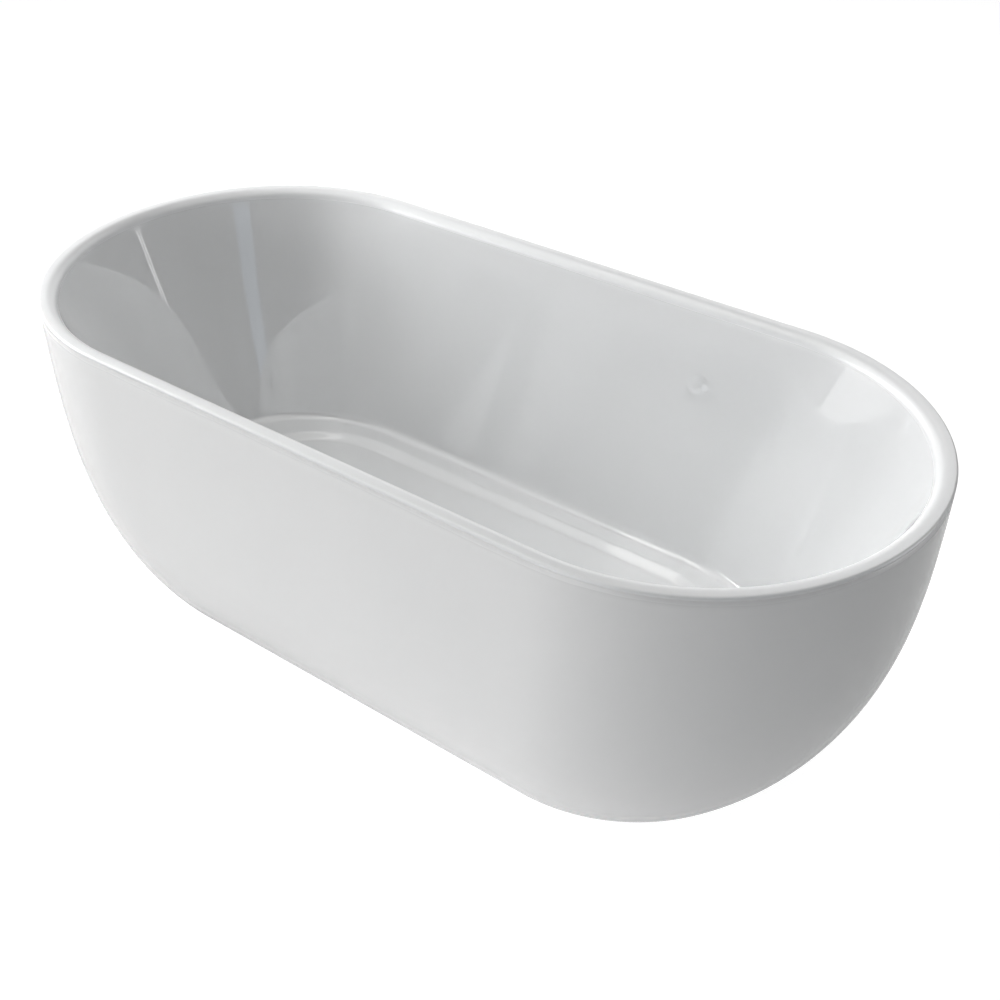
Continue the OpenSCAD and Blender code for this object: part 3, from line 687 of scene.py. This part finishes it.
# ---- Threads ---------------------------------------------------------------------------------
def thread_rows(low, high, crest, depth, pitch, steps, rows_per_turn=6):
    """Rings of a screw thread about the Z axis: a helix that fades out at both ends."""
    rings = []
    count = max(2, round((high - low) / pitch * rows_per_turn))
    for i in range(count + 1):
        z = low + (high - low) * i / count
        fade = min(1, (z - low) / pitch, (high - z) / pitch)
        ring = []
        for j in range(steps):
            phase = (z / pitch - j / steps) % 1
            groove = min(1, max(0, 1.5 - abs(phase - 0.5) * 4)) * fade
            radius = crest - depth * groove
            angle = 2 * math.pi * j / steps
            ring.append(Vector((radius * math.cos(angle), radius * math.sin(angle), z)))
        rings.append(ring)
    return rings


def plain_ring(radius, z, steps):
    return [Vector((radius * math.cos(2 * math.pi * j / steps),
                    radius * math.sin(2 * math.pi * j / steps), z)) for j in range(steps)]


def hex_ring(across, z, steps):
    """A hexagon's outline as a ring with any multiple of six points."""
    ring = []
    for j in range(steps):
        angle = 2 * math.pi * j / steps
        radius = 0.5 * across / math.cos((angle + math.pi / 6) % (math.pi / 3) - math.pi / 6)
        ring.append(Vector((radius * math.cos(angle), radius * math.sin(angle), z)))
    return ring


def capped_mesh(name, rings, material, sharp=40):
    """A solid skin of stacked rings, closed by a face at each end."""
    n = len(rings[0])
    faces = [tuple(reversed(range(n))), tuple(range((len(rings) - 1) * n, len(rings) * n))]
    for i in range(len(rings) - 1):
        for j in range(n):
            k = (j + 1) % n
            faces.append((i * n + j, i * n + k, (i + 1) * n + k, (i + 1) * n + j))
    mesh = bpy.data.meshes.new(name)
    mesh.from_pydata([p for ring in rings for p in ring], [], faces)
    mesh.materials.append(material)
    mark_sharp(mesh, sharp)
    return mesh


def make_stud(number):
    """A screw foot's stud: a plain end in the pad, a hexagon, and a thread up to the top."""
    node = f"foot_{number}_stud"
    low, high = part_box(node)
    centre = (low + high) / 2
    steps = 24
    radius = 6 * MM
    hex_low = low.z + 8 * MM
    hex_high = hex_low + 8 * MM
    across = 15 * MM
    chamfer = 1 * MM
    thread_depth = 0.95 * MM
    pitch = 1.75 * MM
    rings = [plain_ring(radius, low.z, steps), plain_ring(radius, hex_low, steps),
             plain_ring(0.5 * across, hex_low, steps), hex_ring(across, hex_low + chamfer, steps),
             hex_ring(across, hex_high - chamfer, steps), plain_ring(0.5 * across, hex_high, steps),
             plain_ring(radius, hex_high, steps)]
    rings += thread_rows(hex_high + 0.5 * MM, high.z - chamfer, radius, thread_depth, pitch, steps)
    rings.append(plain_ring(radius - 1.1 * MM, high.z, steps))
    for ring in rings:
        for point in ring:
            point.x += centre.x
            point.y += centre.y
    stand_in(f"foot_{number}_screw", capped_mesh(node, rings, ZINC), node,
             f"foot_{number}")


def make_pad(number):
    """A foot's moulded pad, with a rounded skirt and a grip ring."""
    node = f"foot_{number}_pad"
    low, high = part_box(node)
    centre = (low + high) / 2
    r = (high.x - low.x) / 2
    neck = 10 * MM
    hole = 6 * MM
    profile = [(0, 0), (r - 4 * MM, 0), (r - 3.6 * MM, 0.6 * MM), (r - 3 * MM, 0.6 * MM),
               (r - 2.6 * MM, 0)]
    profile += arc(r - 1.4 * MM, 1.4 * MM, 1.4 * MM, -90, 0)
    profile += arc(r - 1.4 * MM, 4.4 * MM, 1.4 * MM, 0, 70)
    profile += [(r - 4 * MM, 6.6 * MM), (neck + 2.2 * MM, 8.4 * MM), (neck + 1 * MM, 9.2 * MM),
                (neck + 0.3 * MM, 10.6 * MM)]
    profile += arc(neck - 0.8 * MM, high.z - 0.8 * MM, 0.8 * MM, 0, 90, 3)
    profile += [(hole, high.z), (hole, high.z - 8 * MM), (0, high.z - 8 * MM)]
    mesh = lathe_mesh(node, profile, BLACK_PLASTIC, steps=64)
    mesh.transform(Matrix.Translation((centre.x, centre.y, 0)))
    stand_in(f"foot_{number}_base", mesh, node, f"foot_{number}")


# ---- Overflow --------------------------------------------------------------------------------
def overflow_frame():
    """Axes at the overflow: +Z points square out of the near wall, and +Y points down along it."""
    centre, out = overflow_axis()
    down = Vector((1, 0, 0)).cross(out) * -1
    axes = Matrix((Vector((1, 0, 0)), down, out)).transposed().to_4x4()
    return Matrix.Translation(centre) @ axes


def make_overflow_cover():
    """A shallow turned cap on the wall, with a water slot in its lower edge."""
    outer = 31 * MM
    lift = 0.6 * MM
    top = 9.6 * MM
    wall = 2 * MM
    hole = 2.5 * MM
    slot = box_mesh((-17 * MM, 16 * MM, -MM), (17 * MM, 46 * MM, 5 * MM))
    profile = [(outer - wall, lift), (outer - 0.4 * MM, lift), (outer, lift + 0.4 * MM)]
    profile += arc(outer - 2 * MM, top - 2 * MM, 2 * MM, 0, 90, 8)
    profile += [(outer - 8 * MM, top), (outer - 8.5 * MM, top - 0.25 * MM),
                (outer - 9 * MM, top), (hole + 0.3 * MM, top), (hole, top - 0.3 * MM),
                (hole, top - wall), (outer - wall, top - wall)]
    mesh = lathe_mesh("overflow_cap", profile, CHROME, steps=128)
    mesh = cut(mesh, "overflow_cap", slot)
    mark_sharp(mesh, 35)
    mesh.transform(overflow_frame())
    stand_in("overflow_cap", mesh, "overflow_cover")


def make_overflow_screw():
    """A pan-head screw with a hexagon socket, down the middle of the cover."""
    radius = 2.5 * MM
    head = 9.6 * MM
    reach = 26 * MM
    head_h = 1.3 * radius
    steps = 48
    rings = [plain_ring(radius - 0.6 * MM, head - reach, steps),
             plain_ring(radius, head - reach + 0.6 * MM, steps),
             plain_ring(radius, head, steps), plain_ring(2 * radius - 0.2 * MM, head, steps)]
    for angle in (0, 15, 30, 45, 60, 75, 90):
        a = math.radians(angle)
        rings.append(plain_ring(2 * radius - 1.8 * MM * (1 - math.cos(a)),
                                head + head_h - 2 * MM * (1 - math.sin(a)), steps))
    rings.append(hex_ring(3 * MM, head + head_h, steps))
    rings.append(hex_ring(3 * MM, head + head_h - 1.6 * MM, steps))
    mesh = capped_mesh("overflow_bolt", rings, CHROME)
    mesh.transform(overflow_frame())
    stand_in("overflow_bolt", mesh, "overflow_screw")


# ---- Overflow hose ---------------------------------------------------------------------------
HOSE_R = 14 * MM
HOSE_BEND_R = 110 * MM
HOSE_GRIP = 15 * MM                    # length of hose pushed over each spigot
PORT_Z = 72 * MM                       # the waste body's spigot: its height, and its end's Y
PORT_END = -62 * MM
SPIGOT_END = 50 * MM                   # reach of the elbow's spigot down the wall
SPIGOT_R = HOSE_R - 3 * MM
HOSE_RIB = 4.6 * MM


def hose_path():
    """(centre, heading) rows down the hose, in the plane x = 0, four to each corrugation."""
    frame_at = overflow_frame()
    start = frame_at @ Vector((0, SPIGOT_END - HOSE_GRIP, elbow_depth()))
    down = (frame_at.to_3x3() @ Vector((0, 1, 0))).normalized()
    tilt = math.atan2(down.y, -down.z)
    drop = start.z - PORT_Z - HOSE_BEND_R * (1 - math.sin(tilt))
    straight = drop / math.cos(tilt)
    bend = HOSE_BEND_R * (0.5 * math.pi - tilt)
    turn = start + down * straight
    centre = turn + HOSE_BEND_R * Vector((0, math.cos(tilt), math.sin(tilt)))
    last = PORT_END + HOSE_GRIP - centre.y
    total = straight + bend + last
    count = 4 * round(total / HOSE_RIB)
    rows = []
    for i in range(count + 1):
        run = total * i / count
        if run < straight:
            rows.append((start + down * run, tilt - 0.5 * math.pi))
        elif run < straight + bend:
            heading = tilt - 0.5 * math.pi + (run - straight) / HOSE_BEND_R
            rows.append((centre + HOSE_BEND_R * Vector((0, math.sin(heading), -math.cos(heading))),
                         heading))
        else:
            rows.append((Vector((0, centre.y + run - straight - bend, PORT_Z)), 0.0))
    return rows


def elbow_depth():
    """Depth of the elbow's outlet behind the wall's face."""
    out = overflow_axis()[1]
    seal = 2 * MM
    flange = 4 * MM
    chamber = 24 * MM
    return -(WALL_T * out.y + seal + flange + chamber / 2)


def make_hose():
    """A corrugated hose with plain cuffs under its two nuts."""
    rows = hose_path()
    steps = 40
    cuff = 12
    bore = SPIGOT_R + 0.2 * MM

    def ring(row, radius):
        centre, heading = row
        side = Vector((0, -math.sin(heading), math.cos(heading)))
        return [centre + radius * (math.cos(2 * math.pi * j / steps) * Vector((1, 0, 0))
                                   + math.sin(2 * math.pi * j / steps) * side)
                for j in range(steps)]

    waves = (0.1 * MM, 0.75 * MM, 1.7 * MM, 0.75 * MM)
    outer = []
    for i, row in enumerate(rows):
        plain = i < cuff or i > len(rows) - 1 - cuff
        outer.append(ring(row, HOSE_R - (0.1 * MM if plain else waves[i % 4])))
    inner = [ring(row, bore) for row in reversed(rows)]
    mesh = band_mesh("ribbed_hose", outer + inner, [HOSE_PLASTIC], lambda i: 0, sharp=70)
    stand_in("ribbed_hose", mesh, "overflow_hose")


# ---- CAD pieces kept as they are, with their finishes ----------------------------------------
def finish_node(node, material, bevel=0.0):
    """Gives a carried-over CAD piece its material, and softens its edges a little."""
    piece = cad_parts[node]
    piece.data.materials.clear()
    piece.data.materials.append(material)
    if bevel:
        edges = piece.modifiers.new("soft_edges", "BEVEL")
        edges.width = bevel
        edges.segments = 2
        edges.limit_method = "ANGLE"
        edges.angle_limit = math.radians(50)
        edges.use_clamp_overlap = True


def finish_nodes():
    tubes = ("frame_rail_front", "frame_rail_rear", "crossmember_left", "crossmember_middle",
             "crossmember_right")
    for node in tubes:
        finish_node(node, GALVANISED, 1.6 * MM)
    finish_node("base_board", PLYWOOD, 0.8 * MM)
    finish_node("skirt_brackets", GALVANISED, 0.5 * MM)
    for node in ("foot_bushings", "plug_spring", "plug_stem"):
        finish_node(node, ZINC)
    for node in ("board_screws", "bracket_screws", "foot_lock_nuts"):
        finish_node(node, ZINC, 0.3 * MM)
    for node in ("tube_end_caps", "hose_nut_upper", "hose_nut_lower", "bracket_inserts",
                 "waste_housing", "plug_cartridge", "overflow_elbow"):
        finish_node(node, BLACK_PLASTIC, 0.5 * MM)
    for node in ("flange_seal", "housing_seal", "plug_seal", "overflow_wall_seal"):
        finish_node(node, RUBBER, 0.3 * MM)


make_basin()
make_skirt()
make_bead()
make_waste_flange()
make_plug_cap()
for foot in range(1, 7):
    make_stud(foot)
    make_pad(foot)
make_overflow_cover()
make_overflow_screw()
make_hose()
finish_nodes()


# ---- Stage, light and camera ----------------------------------------------------------------
STAGE_STEPS = 96
FLOOR_TONE = 0.3
FLOOR_GLOW = 0.8
BOUNCE_TONE = 0.6
BOUNCE_GLOW = 0.36
BOUNCE_GLOW_LEFT = 0.12


def backdrop_mesh():
    """A round floor that curves up into a wall."""
    flat = 14
    bend = 6
    height = 30
    profile = [(flat, 0)]
    for i in range(1, 13):
        angle = 0.5 * math.pi * i / 12
        profile.append((flat + bend * math.sin(angle), bend * (1 - math.cos(angle))))
    profile.append((flat + bend, height))
    steps = STAGE_STEPS
    verts = [(r * math.cos(2 * math.pi * k / steps), r * math.sin(2 * math.pi * k / steps), z)
             for r, z in profile for k in range(steps)]
    faces = [(i * steps + k, i * steps + (k + 1) % steps, (i + 1) * steps + (k + 1) % steps,
              (i + 1) * steps + k) for i in range(len(profile) - 1) for k in range(steps)]
    mesh = bpy.data.meshes.new("floor")
    mesh.from_pydata(verts, [], [tuple(range(steps))] + [tuple(reversed(face)) for face in faces])
    for polygon in mesh.polygons:
        polygon.use_smooth = True
    return mesh


def stage_shader(plane, tone, glow):
    """A plain matt material that also glows a little, on a piece of the stage."""
    shader = Shader(plane.name, (tone, tone, tone), 0.9, specular=0.1)
    shader.bsdf.inputs["Emission Color"].default_value = (1, 1, 1, 1)
    shader.bsdf.inputs["Emission Strength"].default_value = glow
    plane.data.materials.append(shader.material)
    return shader


def make_floor():
    """The pale floor that the camera sees. It lights and shades nothing, and is clear from below."""
    floor = new_object("floor", backdrop_mesh())
    floor.visible_diffuse = floor.visible_glossy = floor.visible_shadow = False
    shader = stage_shader(floor, FLOOR_TONE, FLOOR_GLOW)
    mix = shader.add("ShaderNodeMixShader")
    shader.link(shader.add("ShaderNodeNewGeometry").outputs["Backfacing"], mix.inputs[0])
    shader.link(shader.bsdf.outputs[0], mix.inputs[1])
    shader.link(shader.add("ShaderNodeBsdfTransparent").outputs[0], mix.inputs[2])
    shader.link(mix.outputs[0], shader.tree.nodes["Material Output"].inputs["Surface"])


def make_bounce_floor():
    """A greyer plane just under the floor, that the camera doesn't see and that sets how much light
    comes back up. It glows the most in the middle of the bath's length."""
    bpy.ops.mesh.primitive_circle_add(vertices=STAGE_STEPS, radius=30, fill_type="NGON",
                                      location=(0, 0, -MM))
    bounce = bpy.context.object
    bounce.name = "bounce_floor"
    bounce.visible_camera = False
    shader = stage_shader(bounce, BOUNCE_TONE, BOUNCE_GLOW)
    split = shader.add("ShaderNodeSeparateXYZ")
    shader.link(shader.place, split.inputs[0])
    left = shader.ramp(split.outputs["X"], -1, 0.3, BOUNCE_GLOW_LEFT, BOUNCE_GLOW)
    right = shader.ramp(split.outputs["X"], 0.5, 1.5, BOUNCE_GLOW, 0)
    least = shader.add("ShaderNodeMath", operation="MINIMUM")
    shader.link(left, least.inputs[0])
    shader.link(right, least.inputs[1])
    shader.link(least.outputs[0], shader.bsdf.inputs["Emission Strength"])


def make_world(lobes, below):
    """A studio that is plain in every direction but brighter towards some: each lobe is an axis, a
    sign and a strength, and it grows with the cosine from that axis. The first lobe is dimmed on
    its +X side. Below the floor it is even."""
    dim_start = -0.1
    dim_end = 0.35
    dim_part = 0.15
    world = bpy.data.worlds.new("studio")
    bpy.context.scene.world = world
    world.use_nodes = True
    nodes = world.node_tree.nodes
    links = world.node_tree.links
    direction = nodes.new("ShaderNodeSeparateXYZ")
    links.new(nodes.new("ShaderNodeTexCoord").outputs["Generated"], direction.inputs[0])
    total = None
    for axis, sign, strength in lobes:
        lobe = nodes.new("ShaderNodeMapRange")
        lobe.inputs["From Max"].default_value = sign
        lobe.inputs["To Max"].default_value = strength
        links.new(direction.outputs[axis], lobe.inputs["Value"])
        if total:
            add = nodes.new("ShaderNodeMath")
            links.new(total, add.inputs[0])
            links.new(lobe.outputs[0], add.inputs[1])
            total = add.outputs[0]
        else:
            dim = nodes.new("ShaderNodeMapRange")
            dim.inputs["From Min"].default_value = dim_start
            dim.inputs["From Max"].default_value = dim_end
            dim.inputs["To Min"].default_value = strength
            dim.inputs["To Max"].default_value = strength * dim_part
            links.new(direction.outputs["X"], dim.inputs["Value"])
            links.new(dim.outputs[0], lobe.inputs["To Max"])
            total = lobe.outputs[0]
    above = nodes.new("ShaderNodeMapRange")
    above.inputs["From Min"].default_value = -0.001
    above.inputs["From Max"].default_value = 0.001
    above.inputs["To Min"].default_value = below
    links.new(direction.outputs["Z"], above.inputs["Value"])
    links.new(total, above.inputs["To Max"])
    links.new(above.outputs[0], nodes["Background"].inputs["Strength"])
    nodes["Background"].inputs["Color"].default_value = (1, 1, 1, 1)


def towards(azimuth, elevation):
    """The unit vector of a direction in degrees. Azimuth 0 is the -Y side, and 90 the +X side."""
    a = math.radians(azimuth)
    e = math.radians(elevation)
    return Vector((math.sin(a) * math.cos(e), -math.cos(a) * math.cos(e), math.sin(e)))


def aim(thing, target):
    thing.rotation_euler = (target - thing.location).to_track_quat("-Z", "Y").to_euler()


def softbox(name, azimuth, elevation, distance, width, height, power, color=(1, 1, 1)):
    """A rectangular light that faces the bath and that the camera doesn't see."""
    light = bpy.data.lights.new(name, "AREA")
    light.shape = "RECTANGLE"
    light.size = width
    light.size_y = height
    light.energy = power
    light.color = color
    lamp = bpy.data.objects.new(name, light)
    bpy.context.scene.collection.objects.link(lamp)
    centre = Vector((0, 0, 0.3))
    lamp.location = centre + distance * towards(azimuth, elevation)
    aim(lamp, centre)
    lamp.visible_camera = False


def make_camera():
    target = Vector((0.0959, 0, 0.2982))
    distance = 2.4523
    camera = bpy.data.cameras.new("camera")
    camera.lens = 50.19
    camera.sensor_width = 36
    holder = bpy.data.objects.new("camera", camera)
    bpy.context.scene.collection.objects.link(holder)
    holder.location = target + distance * towards(37.17, 35.37)
    aim(holder, target)
    bpy.context.scene.camera = holder


make_floor()
make_bounce_floor()
make_world((("Y", -1, 0.6), ("X", 1, 0.2), ("X", -1, 0.17), ("Y", 1, 0.15), ("Z", 1, 0.1)), 0.45)
# Softboxes all round, most of them at the front left: azimuth and elevation in degrees, then watts
DISTANCE = 4
BOX = (2.1, 1.25)
for azimuth, elevation, power in (
        (270, 22, 36), (300, 22, 31), (0, 5, 17), (210, 5, 10), (210, 22, 8), (180, 40, 10),
        (180, 22, 5), (240, 40, 6.5), (270, 40, 6.5), (240, 22, 5), (240, 5, 2), (300, 5, 4),
        (270, 5, 3.5), (300, 40, 3)):
    softbox(f"box_{azimuth}_{elevation}", azimuth, elevation, DISTANCE, *BOX, power)
softbox("overhead", 0, 88, DISTANCE, 3.4, 3.4, 25, (1, 0.985, 0.96))
softbox("high_left", 275, 60, DISTANCE, 2.7, 1.7, 12)
softbox("high_right", 90, 62, DISTANCE, 3.4, 2, 10)
softbox("low_right", 118, 0, DISTANCE, 2, 0.5, 15)
softbox("blue_tube", 53, 16, DISTANCE, 0.7, 2.2, 1.7, (0.6, 0.78, 1))
for azimuth in (126.6, 128.4):
    softbox(f"tube_{azimuth:.0f}", azimuth, 16, DISTANCE, 0.04, 2.2, 0.8)
make_camera()
view = bpy.context.scene.view_settings
view.view_transform = "Standard"
view.exposure = 0.11
view.gamma = 0.72
